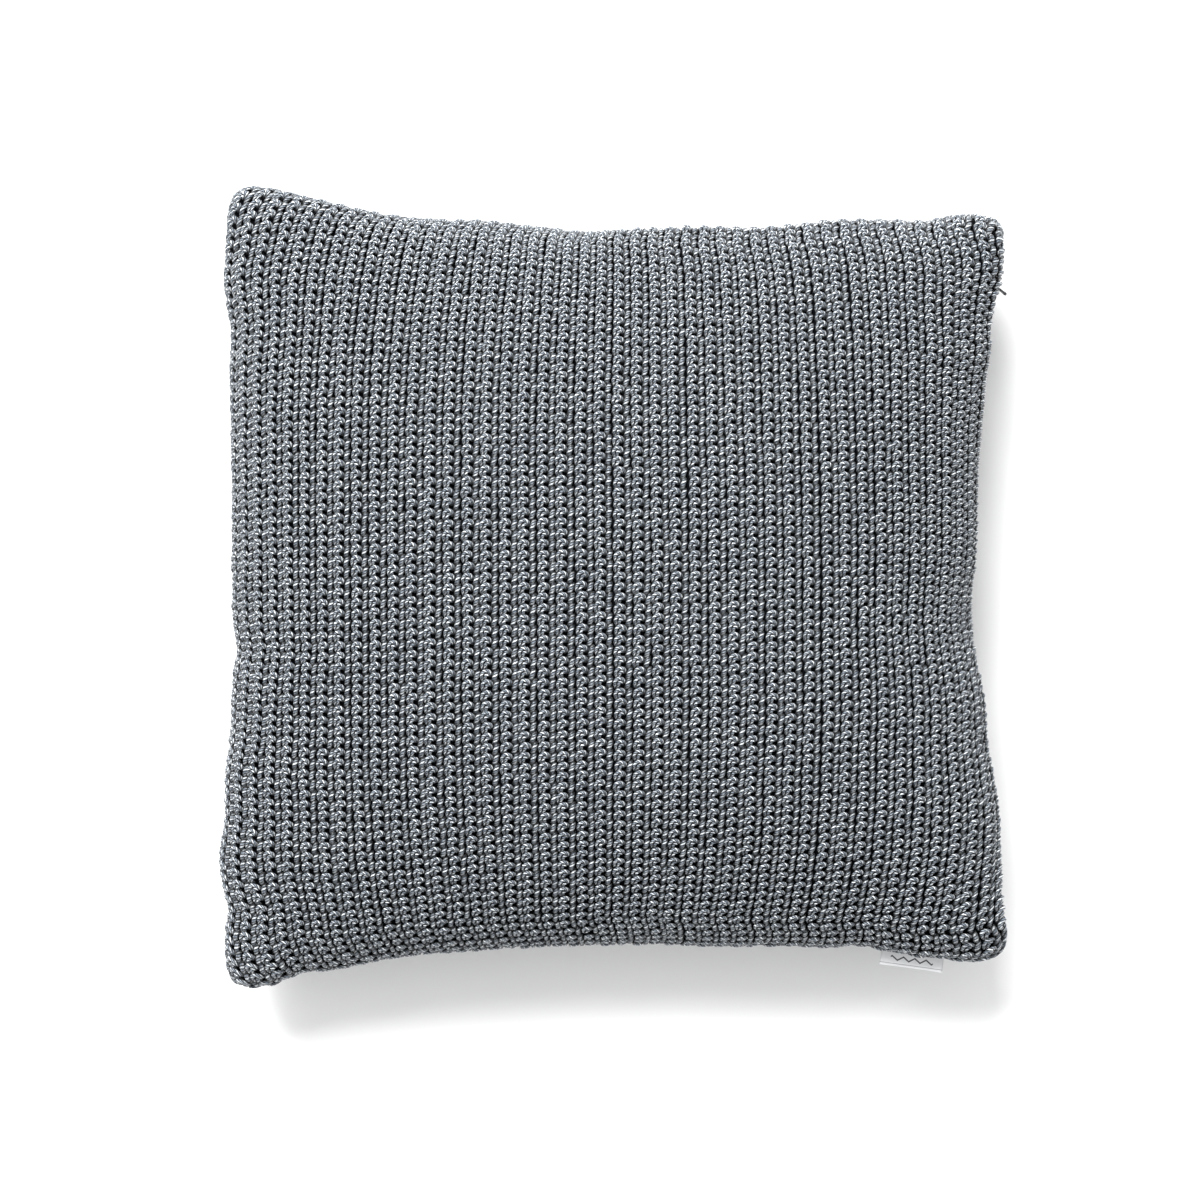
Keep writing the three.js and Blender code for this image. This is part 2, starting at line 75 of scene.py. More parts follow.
# The outline: four corners, and sides that the filling draws in between them.
TOP_LEFT = np.array([-248.0, 263.8])
BOTTOM_LEFT = np.array([-250.0, -263.3])
TOP_RIGHT = np.array([256.5, 241.4])
BOTTOM_RIGHT = np.array([256.1, -243.2])
TOP_PULL = 26.0
BOTTOM_PULL = 26.0
LEFT_PULL = 9.0
RIGHT_PULL = 26.0
PULL_POWER = 2.6
TOP_SKEW = -0.25
LEFT_SKEW = -0.15
RIGHT_SKEW = 0.12
CORNER_ROUNDING = 0.026
CORNER_SHARPNESS = 18
# Where the filling bulges a side out or leaves it slack: (place along it -1 to 1, half width, how far out).
TOP_LUMPS = [(-0.57, 0.12, -1.8), (-0.34, 0.06, 1.5), (-0.09, 0.08, -3.5), (0.21, 0.10, 2.0),
             (0.53, 0.11, 3.2), (0.77, 0.05, -2.5)]
BOTTOM_LUMPS = [(-0.79, 0.06, -3.5), (-0.55, 0.28, -5.0), (-0.24, 0.12, -1.8), (0.0, 0.2, -2.5),
                (0.26, 0.10, 1.2), (0.62, 0.06, -3.5)]
LEFT_LUMPS = [(-0.78, 0.04, -2.5), (-0.645, 0.09, 5.2), (-0.46, 0.09, 3.5), (-0.15, 0.05, -3.2),
              (0.61, 0.05, -1.5), (0.74, 0.05, 2.0)]
RIGHT_LUMPS = [(-0.57, 0.17, 7.0), (-0.30, 0.07, 3.0), (-0.07, 0.12, -6.5), (0.49, 0.05, 1.0),
               (0.61, 0.05, 2.6), (0.83, 0.05, 2.5)]
LUMP_REACH = 230.0  # from the middle of the cushion to where the lumps have their full size
LUMP_POWER = 6  # how fast they die away towards the middle

COVER = 5.2  # thickness of the crochet, from the casing to the tops of the stitches
RESTING = 6.2  # the least height of the casing over the floor that the cushion lies on
FRONT_RISE = FRONT_TOP - SEAM_Z - COVER
BACK_DROP = 61.0
DOME_POWER = 2.8
ZIP_DOME_POWER = 5  # the crown falls away more suddenly towards the zip
EDGE_RISE = 24.0  # how far each panel stands up from the seam right at its edge
EDGE_POWER = 22
EAR_THINNING = 0.5  # the share of that which is lost in the ears, at the corners
EAR_POWER = 4
EDGE_PLUMP = 3.5  # how far the edges stand out past the seam's own outline
SEAM_TUCK = 4.0  # how far the seam sits inside the plumpest part of the edge
TUCK_DEPTH = 12.0
SEAM_GAP = 0.4  # between the two panels' casings, along the zip's side
SEAM_CORD = 1.4
SEAM_OUT = 2.0  # from the edge of the casing to the cord of the seam
SEAM_STEPS = 1200  # that the seam's line is measured out in
SEAM_RINGS = 900  # of points along its cord
SEAM_CALM = 7  # steps either way that its outward direction is averaged over
WHIP_PITCH = 6.4  # between the stitches that whip the two panels together
WHIP_PITCH_SPREAD = 0.3
WHIP_CORD = 1.0
# The path of one such stitch, from panel to panel: (out of the seam, along it, up).
WHIP = [(-2.6, -1.6, 3.6), (0.6, -1.1, 2.9), (2.0, -0.3, 0.9), (2.0, 0.3, -0.9), (0.6, 1.1, -2.9),
        (-2.6, 1.6, -3.6)]

# The zip's slot: two plump lips that stand clear of the slider's path.
COIL_INNER = 7.0  # inset of the back of the coil from the zip's arc
COIL_MIDDLE = (5.5, 1.875)  # inset of the coil's middle, and its height off the seam's plane
COIL_HALF = (1.2, 0.93)
COIL_WIRE = 0.3
COIL_PITCH = 1.9
COIL_MARGIN = 0.5  # the wire stops this short of the ends of the coil
COIL_LOW, COIL_HIGH = box_mm("zip_coil_front")
ZIP_CENTRE = np.array(joints["zip_travel"]["pos_m"][:2]) / MM
ZIP_RADIUS = ZIP_CENTRE[0] - COIL_LOW[0] - COIL_INNER
SLOT_LOW = COIL_LOW[1] - 2
SLOT_HIGH = box_mm("zip_tape_front")[1][1] + 2
SLOT_END = 10.0  # the lips close over this length past the slot's ends
LIP_LIFT = 10.5  # the casing stands this far off the zip's middle, behind the lips
LIP_FADE = 22.0
LIP_DEPTH = 10.0
LIP_BLEND = 7.0  # the lumps of filling reach full size this far above the lips
WALL_INSET = 15.5  # inset of the bottom of the slot from the zip's arc, just behind the tapes
SLOT_DEPTH = 16.0  # from the outline to the bottom of the slot, about
LIP_CLEAR = 7.0  # the crochet ends this far from the bottom of the slot

GRID = 72  # cells across one face of the simulated cushion
FINE = 3  # cells of the finished form for each of those
SWELL_FRAMES = 14
SWELL_CAP = 7.0  # the most that a point may move while the cushion is blown up
SWELL_PRESSURE = 4
CLOTH_MASS = 0.01
CLOTH_STIFFNESS = 25
CLOTH_BENDING = 4
CALM_PASSES = 10  # of smoothing, which takes the small wrinkles out of that

ROWS = 45  # pairs of crochet rows across a face
STITCHES = 80  # stitches up each row
ROW_PITCH = 12.4  # of the stitch drawing below, across and along
STITCH_PITCH = 6.6
# The filling stretches the crochet open in the middle of the face, and lets it close up towards the edges.
ROW_STRETCH, ROW_CLOSING = (0.03, 0.14)
STITCH_STRETCH, STITCH_CLOSING = (0.045, 0.135)
ROW_LEAN = 0.022  # the rows bend this far to the left at the top and the bottom
ROW_MARGIN = 0.05  # kept clear at the left and right edges of the face, in rows
STITCH_ENDS = (0.45, 0.80)  # what a stitch takes up before and after its own place, in stitches
EVEN_STITCHES = 8  # at either end of a row, over which all the rows come into step for the seam
BANDS = 5  # the cover is divided into this many pieces across each face
CORD = 1.15  # radius of the crochet cord
CORD_PLIES = 4
CORD_LAY = 6.6  # length of one turn of its plies
# How uneven the handwork is: the spread of each row and stitch, in rows or stitches or as a share.
ROW_DRIFT = 0.015
ROW_WIDTH_SPREAD = 0.015
ROW_STEP, ROW_STEP_SPREAD = (0.04, 0.05)  # that each row's stitches lie further along than the last row's
STITCH_DRIFT = 0.022
STITCH_HEIGHT_SPREAD = 0.06
STITCH_TONE_SPREAD = 0.16
TONE = 0.5  # the middle of the range of tones
SEAM_TONE = 0.4
SEAM_HEIGHT_SHADE = 0.7  # the height given to the seam's cord for the material's painted shade, which darkens cord by its height as it does the crochet's
TWIST_SPREAD = 20.0  # how far apart, in millimetres of cord, the plies of two stitches may start

LABEL_ROOT = np.array(joints["label_flex"]["pos_m"]) / MM
LABEL_ALONG = np.array(joints["label_flex"]["axis"])
LABEL_WIDTH = 40.0
LABEL_REACH = 9.6  # past the seam
LABEL_HIDDEN = 9.0  # inside it
LABEL_RIBBON = 0.35  # thickness of the ribbon
LABEL_FOLD = 0.45  # inside radius of its fold
LABEL_SAG = 0.5  # depth of its waves

rng = np.random.default_rng(7)


# ---- The filled form ----
def side(a, b, pull, skew, inward, t):
    """A side of the outline from a to b at t of -1 to 1, drawn in along inward."""
    draw = pull * (1 - np.abs(t) ** PULL_POWER) * (1 + skew * t)
    return a + (b - a) * ((t + 1) / 2)[..., None] + np.array(inward) * draw[..., None]


def plan(u0, v0):
    """The place in plan of (u, v), each -1 to 1: a Coons patch between the four drawn-in sides."""
    u = u0 * (1 - CORNER_ROUNDING * np.abs(v0) ** CORNER_SHARPNESS)
    v = v0 * (1 - CORNER_ROUNDING * np.abs(u0) ** CORNER_SHARPNESS)
    left, right, low, high = ((1 - u) / 2, (1 + u) / 2, (1 - v) / 2, (1 + v) / 2)
    sides = (
        (low, side(BOTTOM_LEFT, BOTTOM_RIGHT, BOTTOM_PULL, 0, (0, 1), u)),
        (high, side(TOP_LEFT, TOP_RIGHT, TOP_PULL, TOP_SKEW, (0, -1), u)),
        (left, side(BOTTOM_LEFT, TOP_LEFT, LEFT_PULL, LEFT_SKEW, (1, 0), v)),
        (right, side(BOTTOM_RIGHT, TOP_RIGHT, RIGHT_PULL, RIGHT_SKEW, (-1, 0), v)),
        (-left * low, BOTTOM_LEFT),
        (-right * low, BOTTOM_RIGHT),
        (-left * high, TOP_LEFT),
        (-right * high, TOP_RIGHT),
    )
    return sum(share[..., None] * place for share, place in sides)


def dome(t, power):
    """A crown across -1 to 1: 1 in the middle, 0 at both ends, and flatter the higher the power."""
    return np.sqrt(np.clip(1 - np.abs(t) ** power, 0, None))


def height(rise, u, v):
    """How far a face stands off the seam's plane: a dome with plump edges and thinner ears."""
    crown = rise * dome(u, np.where(u > 0, ZIP_DOME_POWER, DOME_POWER)) * dome(v, DOME_POWER)
    edge = EDGE_RISE * dome(u, EDGE_POWER) * dome(v, EDGE_POWER)
    edge = edge * (1 - EAR_THINNING * np.abs(u * v) ** EAR_POWER)
    return (crown**3 + edge**3) ** (1 / 3) * rise / (rise**3 + EDGE_RISE**3) ** (1 / 3)


def even(points):
    """A grid of points moved along its own rows and columns until they are evenly spaced."""
    for _ in range(3):
        for axis in (0, 1):
            points = np.moveaxis(points, axis, 1)
            moved = np.empty_like(points)
            for row, line in enumerate(points):
                run = np.linalg.norm(np.diff(line, axis=0), axis=1)
                run = np.concatenate([[0], np.cumsum(run)])
                stops = np.linspace(0, run[-1], len(line))
                for k in range(3):
                    moved[row, :, k] = np.interp(stops, run, line[:, k])
            points = np.moveaxis(moved, 1, axis)
    return points


def smooth_step(x):
    """A smooth climb from 0 to 1 as x does the same."""
    x = np.clip(x, 0, 1)
    return x * x * (3 - 2 * x)


def slot_share(u, y):
    """1 beside the zip's slot, falling to 0 past its ends and on the other half of the cushion."""
    past_low = smooth_step((y - SLOT_LOW + SLOT_END) / SLOT_END)
    past_high = smooth_step((SLOT_HIGH + SLOT_END - y) / SLOT_END)
    return np.where(u > 0, past_low * past_high, 0)


def zip_x(y, inset):
    """Where a line at an inset from the zip's arc passes y."""
    return ZIP_CENTRE[0] - np.sqrt((ZIP_RADIUS + inset) ** 2 - (y - ZIP_CENTRE[1]) ** 2)


def lumps(points):
    """How far in x and in y the filling's lumps push each point out, along the four sides."""
    x, y = points[..., 0], points[..., 1]

    def push(outward, bulges, place, ends):
        t = np.interp(place, ends, [-1, 1])
        size = sum(out * np.exp(-(((t - middle) / half_width) ** 2)) for middle, half_width, out in bulges)
        return size * np.clip(outward / LUMP_REACH, 0, 1) ** LUMP_POWER

    right = push(x, RIGHT_LUMPS, y, [BOTTOM_RIGHT[1], TOP_RIGHT[1]])
    left = push(-x, LEFT_LUMPS, y, [BOTTOM_LEFT[1], TOP_LEFT[1]])
    top = push(y, TOP_LUMPS, x, [TOP_LEFT[0], TOP_RIGHT[0]])
    bottom = push(-y, BOTTOM_LUMPS, x, [BOTTOM_LEFT[0], BOTTOM_RIGHT[0]])
    over_lips = smooth_step((np.abs(points[..., 2] - SEAM_Z) - LIP_LIFT) / LIP_BLEND)
    free = 1 - slot_share(x, y) * (1 - over_lips)
    return np.stack([right - left, top - bottom], axis=-1) * free[..., None]


def inner_face(rise, up):
    """The casing's surface under one panel, as a fine grid of points [v, u]."""
    t = np.sin(np.linspace(-math.pi / 2, math.pi / 2, GRID * FINE + 1))
    u, v = np.meshgrid(t, t)
    outline = plan(u, v)
    rising = height(rise, u, v)
    reach = np.abs(outline).max(axis=-1)
    slot = slot_share(u, outline[..., 1] * (1 - SLOT_DEPTH / reach))
    tuck = SEAM_TUCK * np.clip(1 - rising / TUCK_DEPTH, 0, 1) ** 2
    edge_x, edge_y = outline[:, -1:, 0], outline[:, -1:, 1]
    behind_zip = edge_x - (COVER + SEAM_TUCK - EDGE_PLUMP) - zip_x(edge_y, WALL_INSET)
    tuck = tuck + slot * behind_zip * np.clip(1 - rising / LIP_DEPTH, 0, 1) ** 2
    lifted = rising + np.maximum(slot * LIP_LIFT, SEAM_GAP) * (1 - smooth_step(rising / LIP_FADE))
    outline = outline * (1 - (COVER + tuck - EDGE_PLUMP) / reach)[..., None]
    points = even(np.concatenate([outline, (SEAM_Z + up * lifted)[..., None]], axis=-1))
    points[..., :2] += lumps(points)
    points[..., 2] = np.maximum(points[..., 2], RESTING)
    return points


def new_mesh(name, points, *faces, smooth=True):
    """A mesh object from an array of points in millimetres and arrays of triangles or quads."""
    mesh = bpy.data.meshes.new(name)
    loops = np.concatenate([part.ravel() for part in faces]).astype(np.int32)
    sides = np.concatenate([np.full(len(part), part.shape[1]) for part in faces])
    starts = np.concatenate([[0], np.cumsum(sides)[:-1]]).astype(np.int32)
    mesh.vertices.add(len(points))
    mesh.vertices.foreach_set("co", (points * MM).astype(np.float32).ravel())
    mesh.loops.add(len(loops))
    mesh.loops.foreach_set("vertex_index", loops)
    mesh.polygons.add(len(sides))
    mesh.polygons.foreach_set("loop_start", starts)
    mesh.polygons.foreach_set("use_smooth", np.full(len(sides), smooth))
    mesh.update(calc_edges=True)
    mesh.validate()
    piece = bpy.data.objects.new(name, mesh)
    bpy.context.scene.collection.objects.link(piece)
    return piece


def pillow_faces(count):
    """A closed skin over a front and a back grid: they share three edges, and a wall joins the zip's.

    Returns where the back has points of its own, the index of every back point, and the faces."""
    front = np.arange(count * count).reshape(count, count)
    own = np.zeros((count, count), bool)
    own[1:-1, 1:] = True
    back = front.copy()
    back[own] = count * count + np.arange(own.sum())

    def quads(grid):
        corners = [grid[:-1, :-1], grid[:-1, 1:], grid[1:, 1:], grid[1:, :-1]]
        return np.stack([corner.ravel() for corner in corners], axis=1)

    near, far = front[:, -1], back[:, -1]
    wall = np.stack([near[1:-2], far[1:-2], far[2:-1], near[2:-1]], axis=1)
    ends = np.array([[near[0], far[1], near[1]], [near[-2], far[-2], near[-1]]])
    return own, back, (quads(front), quads(back)[:, ::-1], wall, ends)


def swell(front, back):
    """How far every point moves as cloth simulation blows the closed cushion up, its edges held."""
    count = len(front)
    own, back_index, faces = pillow_faces(count)
    start = np.concatenate([front.reshape(-1, 3), back[own]])
    work = new_mesh("swelling", start, *faces)
    still = ~own
    still[:, -3:] = True
    front_index = np.arange(count * count).reshape(count, count)
    held = work.vertex_groups.new(name="seam")
    held.add(np.unique([front_index[still], back_index[still]]).tolist(), 1, "REPLACE")
    cloth = work.modifiers.new("cloth", "CLOTH")
    cloth.settings.use_pressure = True
    cloth.settings.uniform_pressure_force = SWELL_PRESSURE
    cloth.settings.mass = CLOTH_MASS
    cloth.settings.vertex_group_mass = "seam"
    cloth.settings.tension_stiffness = CLOTH_STIFFNESS
    cloth.settings.compression_stiffness = CLOTH_STIFFNESS
    cloth.settings.bending_stiffness = CLOTH_BENDING
    cloth.settings.effector_weights.gravity = 0
    cloth.point_cache.frame_end = SWELL_FRAMES
    scene = bpy.context.scene
    for step in range(1, SWELL_FRAMES + 1):
        scene.frame_set(step)
    blown = work.evaluated_get(bpy.context.evaluated_depsgraph_get()).to_mesh()
    moved = np.empty(len(blown.vertices) * 3, np.float32)
    blown.vertices.foreach_get("co", moved)
    moved = moved.reshape(-1, 3) / MM - start
    scene.frame_set(1)
    bpy.data.objects.remove(work)
    size = np.linalg.norm(moved, axis=1, keepdims=True)
    moved = moved * (SWELL_CAP * np.tanh(size / SWELL_CAP) / np.maximum(size, 1e-6))
    return calm(moved[front_index]), calm(moved[back_index])


def calm(grid):
    """A grid of movements with its small wrinkles smoothed out, held at the edges."""
    for _ in range(CALM_PASSES):
        for axis in (0, 1):
            line = np.moveaxis(grid, axis, 0)
            line[1:-1] = (line[:-2] + 2 * line[1:-1] + line[2:]) / 4
    return grid


def finer(grid):
    """A grid of points with FINE cells for each one."""
    cells = len(grid) - 1
    for axis in (0, 1):
        grid = np.moveaxis(grid, axis, 0)
        stops = np.linspace(0, cells, cells * FINE + 1)
        low = np.minimum(stops.astype(int), cells - 1)
        straight = stops - low
        share = ((smooth_step(straight) + straight) / 2)[:, None, None]
        grid = np.moveaxis(grid[low] * (1 - share) + grid[low + 1] * share, 0, axis)
    return grid


def cushion_form():
    """The casing's front and back, as fine grids of points."""
    front = inner_face(FRONT_RISE, 1)
    back = inner_face(BACK_DROP, -1)
    back[0], back[-1], back[:, 0] = front[0], front[-1], front[:, 0]
    moved = swell(front[::FINE, ::FINE], back[::FINE, ::FINE])
    front, back = front + finer(moved[0]), back + finer(moved[1])
    back[..., 2] = np.maximum(back[..., 2], RESTING)
    return front, back


class Face:
    """One face of the cushion, read at any place (u, v) of the cloth, each -1 to 1."""

    def __init__(self, points, outward):
        self.points = points
        normals = np.cross(np.gradient(points, axis=1), np.gradient(points, axis=0)) * outward
        self.normals = normals / np.linalg.norm(normals, axis=-1, keepdims=True)
        edge = points[:, -1]
        width = np.linalg.norm(np.diff(points, axis=1), axis=2).sum(axis=1)
        self.lips = slot_share(np.ones(len(edge)), edge[:, 1]) * LIP_CLEAR * 2 / width

    def lip(self, v):
        """How much of the face's width, from -1 to 1, is left bare in the slot beside the zip."""
        return np.interp(v, np.linspace(-1, 1, len(self.lips)), self.lips)

    def read(self, u, v, height):
        """Points at (u, v), at a height over the surface."""
        cells = len(self.points) - 1
        x = np.clip((u + 1) / 2 * cells, 0, cells)
        y = np.clip((v + 1) / 2 * cells, 0, cells)
        i = np.minimum(x.astype(int), cells - 1)
        j = np.minimum(y.astype(int), cells - 1)
        fx, fy = (x - i)[..., None], (y - j)[..., None]

        def mixed(grid):
            low = grid[j, i] * (1 - fx) + grid[j, i + 1] * fx
            high = grid[j + 1, i] * (1 - fx) + grid[j + 1, i + 1] * fx
            return low * (1 - fy) + high * fy

        return mixed(self.points) + mixed(self.normals) * height[..., None]


# ---- Cord ----
def smooth_path(points, steps):
    """Points along a Catmull-Rom curve through the given ones, evenly spaced, and their run along it."""
    p = np.array(points, float)
    p = np.concatenate([[2 * p[0] - p[1]], p, [2 * p[-1] - p[-2]]])
    t = np.linspace(0, 1, 12, endpoint=False)[:, None]
    run = []
    for a, b, c, d in zip(p, p[1:], p[2:], p[3:]):
        cubic = (3 * b - a - 3 * c + d) * t**3 + (2 * a - 5 * b + 4 * c - d) * t**2
        run.append(0.5 * (cubic + (c - a) * t + 2 * b))
    return evenly(np.concatenate(run + [p[-2:-1]]), steps)


def evenly(line, steps):
    """A line of points divided into equal steps, and the run along it of each."""
    run = np.concatenate([[0], np.cumsum(np.linalg.norm(np.diff(line, axis=0), axis=1))])
    stops = np.linspace(0, run[-1], steps + 1)
    return np.stack([np.interp(stops, run, line[:, k]) for k in range(3)], axis=1), stops


def tube(path, run, sides, radius, flat=1.0, reference=(0, 0, 1), taper=0.7):
    """A closed tube along a path: its points, its triangles and the cord UV of each of their corners.

    The cord UV is the share of a turn round the tube, and the run along it in millimetres."""
    steps = len(path) - 1
    tangent = np.gradient(path, axis=0)
    tangent /= np.linalg.norm(tangent, axis=1, keepdims=True)
    across = np.cross(tangent, reference)
    across /= np.linalg.norm(across, axis=1, keepdims=True)
    up = np.cross(across, tangent)
    angle = np.arange(sides) * 2 * math.pi / sides
    ring = np.cos(angle)[None, :, None] * across[:, None] * radius / flat
    ring = ring + np.sin(angle)[None, :, None] * up[:, None] * radius * flat
    ends = np.ones(steps + 1)
    ends[[0, -1]] = taper
    points = path[:, None] + ring * ends[:, None, None]

    i, k = np.meshgrid(np.arange(steps), np.arange(sides), indexing="ij")
    corner = [i * sides + k, i * sides + (k + 1) % sides]
    corner = [corner[0], corner[1], corner[1] + sides, corner[0] + sides]
    turns = [k / sides, (k + 1) / sides, (k + 1) / sides, k / sides]
    runs = [run[i], run[i], run[i + 1], run[i + 1]]
    cord_uv = [np.stack([turn, along], axis=-1) for turn, along in zip(turns, runs)]
    tris, uvs = [], []
    for picked in ((0, 1, 2), (0, 2, 3)):
        tris.append(np.stack([corner[p] for p in picked], axis=-1).reshape(-1, 3))
        uvs.append(np.stack([cord_uv[p] for p in picked], axis=2).reshape(-1, 3, 2))
    fan = np.arange(1, sides - 1)
    first = steps * sides
    tris.append(np.stack([0 * fan, fan + 1, fan], axis=-1))
    tris.append(np.stack([first + 0 * fan, first + fan, first + fan + 1], axis=-1))
    for at in (run[0], run[-1]):
        uvs.append(np.broadcast_to([0.0, at], (len(fan), 3, 2)))
    return points.reshape(-1, 3), np.concatenate(tris), np.concatenate(uvs)


def together(parts):
    """Several tubes as one set of points, triangles and cord UVs."""
    starts = np.cumsum([0] + [len(points) for points, _, _ in parts])
    tris = [part[1] + start for part, start in zip(parts, starts)]
    return np.concatenate([p[0] for p in parts]), np.concatenate(tris), np.concatenate([p[2] for p in parts])


def cord_piece(name, points, tris, uvs, tone, height_shade):
    """A piece made of cord, with what its material reads: UVs, each face's tone and each point's height in
    the cover, from which painted shade is made.
    """
    piece = new_mesh(name, points, tris)
    layer = piece.data.uv_layers.new(name="cord")
    layer.uv.foreach_set("vector", uvs.astype(np.float32).ravel())
    shade = piece.data.attributes.new("tone", "FLOAT", "FACE")
    shade.data.foreach_set("value", np.asarray(tone, np.float32))
    height_shade_layer = piece.data.attributes.new("height_shade", "FLOAT", "POINT")
    height_shade_layer.data.foreach_set("value", np.asarray(height_shade, np.float32))
    return piece


# ---- Crochet ----
# The strands of one stitch, each a path of (across, along, up) points.
FAN_LOOP = [(2.8, -2.4, 2.2), (1.5, -0.1, 3.1), (1.6, 2.3, 3.9), (3.3, 4.3, 4.3), (5.8, 4.4, 4.2),
            (7.5, 3.0, 3.4), (8.3, 1.2, 1.0)]
FAN_LEG = [(4.3, -2.2, 1.9), (3.7, 0.1, 3.6), (4.6, 2.1, 4.1), (6.0, 2.2, 3.5), (7.0, 1.2, 1.0)]
RIDGE_LEAF = [(9.2, -2.8, 0.8), (9.6, -1.0, 2.8), (10.3, 1.2, 3.6), (11.0, 3.2, 3.2), (11.4, 5.0, 1.3)]


def stitch():
    """All the strands of one stitch."""
    return together([
        tube(*smooth_path(FAN_LOOP, 10), 6, CORD),
        tube(*smooth_path(FAN_LEG, 6), 5, CORD),
        tube(*smooth_path(RIDGE_LEAF, 6), 6, CORD * 1.3, 0.88),
    ])


def stretched(w, stretch, closing, other):
    """Where the cloth's place w, -1 to 1, lies along a face whose middle is stretched."""
    return w * (1 + (stretch - closing * np.abs(other) ** 3) * (1 - w * w))


def crochet(face, name, mirrored, random):
    """The stitches of one face, as a few pieces side by side."""
    points, tris, uvs = stitch()
    if mirrored:
        tris, uvs = tris[:, ::-1], uvs[:, ::-1]
    drift = random.normal(0, ROW_DRIFT, ROWS)
    phase = np.cumsum(random.normal(ROW_STEP, ROW_STEP_SPREAD, ROWS)) % 1 - 0.5
    tightness = ROW_WIDTH_SPREAD * random.normal(0, 1, ROWS)
    bounds = np.linspace(0, ROWS, BANDS + 1).astype(int)
    pieces = []
    for band in range(BANDS):
        rows = np.arange(bounds[band], bounds[band + 1])
        row, along = (grid.ravel() for grid in np.meshgrid(rows, np.arange(STITCHES), indexing="ij"))
        count = len(row)
        jitter = random.normal(0, 1, (count, 5)).clip(-2, 2)
        shift = STITCH_DRIFT * jitter[:, :2]
        free = smooth_step(np.minimum(along, STITCHES - 1 - along) / EVEN_STITCHES)
        lag = (phase[row] + shift[:, 1]) * free
        across = (points[None, :, 0] / ROW_PITCH - 0.5) * (1 + tightness[row, None]) + 0.5
        across = across + (row + drift[row] + shift[:, 0])[:, None]
        upward = points[None, :, 1] / STITCH_PITCH + (along + lag)[:, None]
        wu = 2 * (across + ROW_MARGIN) / (ROWS + 2 * ROW_MARGIN) - 1
        wv = 2 * (upward + STITCH_ENDS[0]) / (STITCHES - 1 + sum(STITCH_ENDS)) - 1
        u = stretched(wu, ROW_STRETCH, ROW_CLOSING, wv)
        v = stretched(wv, STITCH_STRETCH, STITCH_CLOSING, wu)
        u = u - ROW_LEAN * v**4 * (1 - u * u)
        u = u - (u + 1) / 2 * face.lip(v)
        placed = face.read(u, v, points[None, :, 2] * (1 + STITCH_HEIGHT_SPREAD * jitter[:, 2:3]))
        all_tris = tris[None] + (np.arange(count) * len(points))[:, None, None]
        all_uvs = uvs[None] + np.array([0, TWIST_SPREAD]) * jitter[:, 3, None, None, None]
        tone = np.repeat(TONE + STITCH_TONE_SPREAD * jitter[:, 4], len(tris))
        # The last argument is each point's height in the cover, which the material turns into painted shade
        # on low-lying cord.
        pieces.append(cord_piece(f"{name}_{band + 1}", placed.reshape(-1, 3), all_tris.reshape(-1, 3),
                                 all_uvs, tone, np.tile(points[:, 2] / COVER, count)))
    return pieces


def seam_path(edge_grid):
    """The line that the seam follows round the cushion, from one end of the zip's slot to the other."""
    zip_side = edge_grid[:, -1]
    low = zip_side[zip_side[:, 1] < SLOT_LOW - SLOT_END / 2]
    high = zip_side[zip_side[:, 1] > SLOT_HIGH + SLOT_END / 2]
    bottom, left, top = edge_grid[0, -2::-1], edge_grid[1:, 0], edge_grid[-1, 1:]
    line = np.concatenate([low[::-1], bottom, left, top, high[-2::-1]])
    line[:, 2] = SEAM_Z
    line, run = evenly(line, SEAM_STEPS)
    along = np.gradient(line, axis=0)
    along /= np.linalg.norm(along, axis=1, keepdims=True)
    out = np.stack([-along[:, 1], along[:, 0], 0 * run], axis=1)
    blur = np.hanning(2 * SEAM_CALM + 1)
    blur /= blur.sum()
    wide = np.pad(out, ((SEAM_CALM, SEAM_CALM), (0, 0)), mode="edge")
    out = np.stack([np.convolve(wide[:, k], blur, mode="valid") for k in range(3)], axis=1)
    out /= np.linalg.norm(out, axis=1, keepdims=True)
    return line, out, run


def seam(edge_grid, random):
    """The cord that joins the two panels, and the stitches that whip it to both."""
    line, out, run = seam_path(edge_grid)
    centre = line + out * SEAM_OUT
    path, path_run = evenly(centre, SEAM_RINGS)
    core = tube(path, path_run, 8, SEAM_CORD)
    points, tris, uvs = tube(*smooth_path(WHIP, 7), 5, WHIP_CORD, reference=(0, 1, 0))
    count = int(run[-1] / WHIP_PITCH)
    stops = np.linspace(WHIP_PITCH, run[-1] - WHIP_PITCH, count)
    stops = stops + random.normal(0, WHIP_PITCH_SPREAD, count)
    at = stops[:, None] + points[None, :, 1]

    def along(values):
        return np.stack([np.interp(at, run, values[:, k]) for k in range(3)], axis=-1)

    placed = along(centre) + along(out) * points[None, :, 0, None]
    placed = placed + np.array([0, 0, 1]) * points[None, :, 2, None]
    whip_tris = tris[None] + (np.arange(count) * len(points))[:, None, None]
    whip_uvs = uvs[None] + np.array([0, TWIST_SPREAD]) * random.normal(0, 1, count)[:, None, None, None]
    return together([core, (placed.reshape(-1, 3), whip_tris.reshape(-1, 3), whip_uvs.reshape(-1, 3, 2))])


# ---- Zip and labels ----
def on_zip(angle, inset, z):
    """A point beside the zip's arc: its angle along the arc, its inset, and its height off the seam."""
    radius = ZIP_RADIUS + inset
    return np.stack([ZIP_CENTRE[0] - radius * np.cos(angle), ZIP_CENTRE[1] + radius * np.sin(angle),
                     SEAM_Z + z], axis=-1)


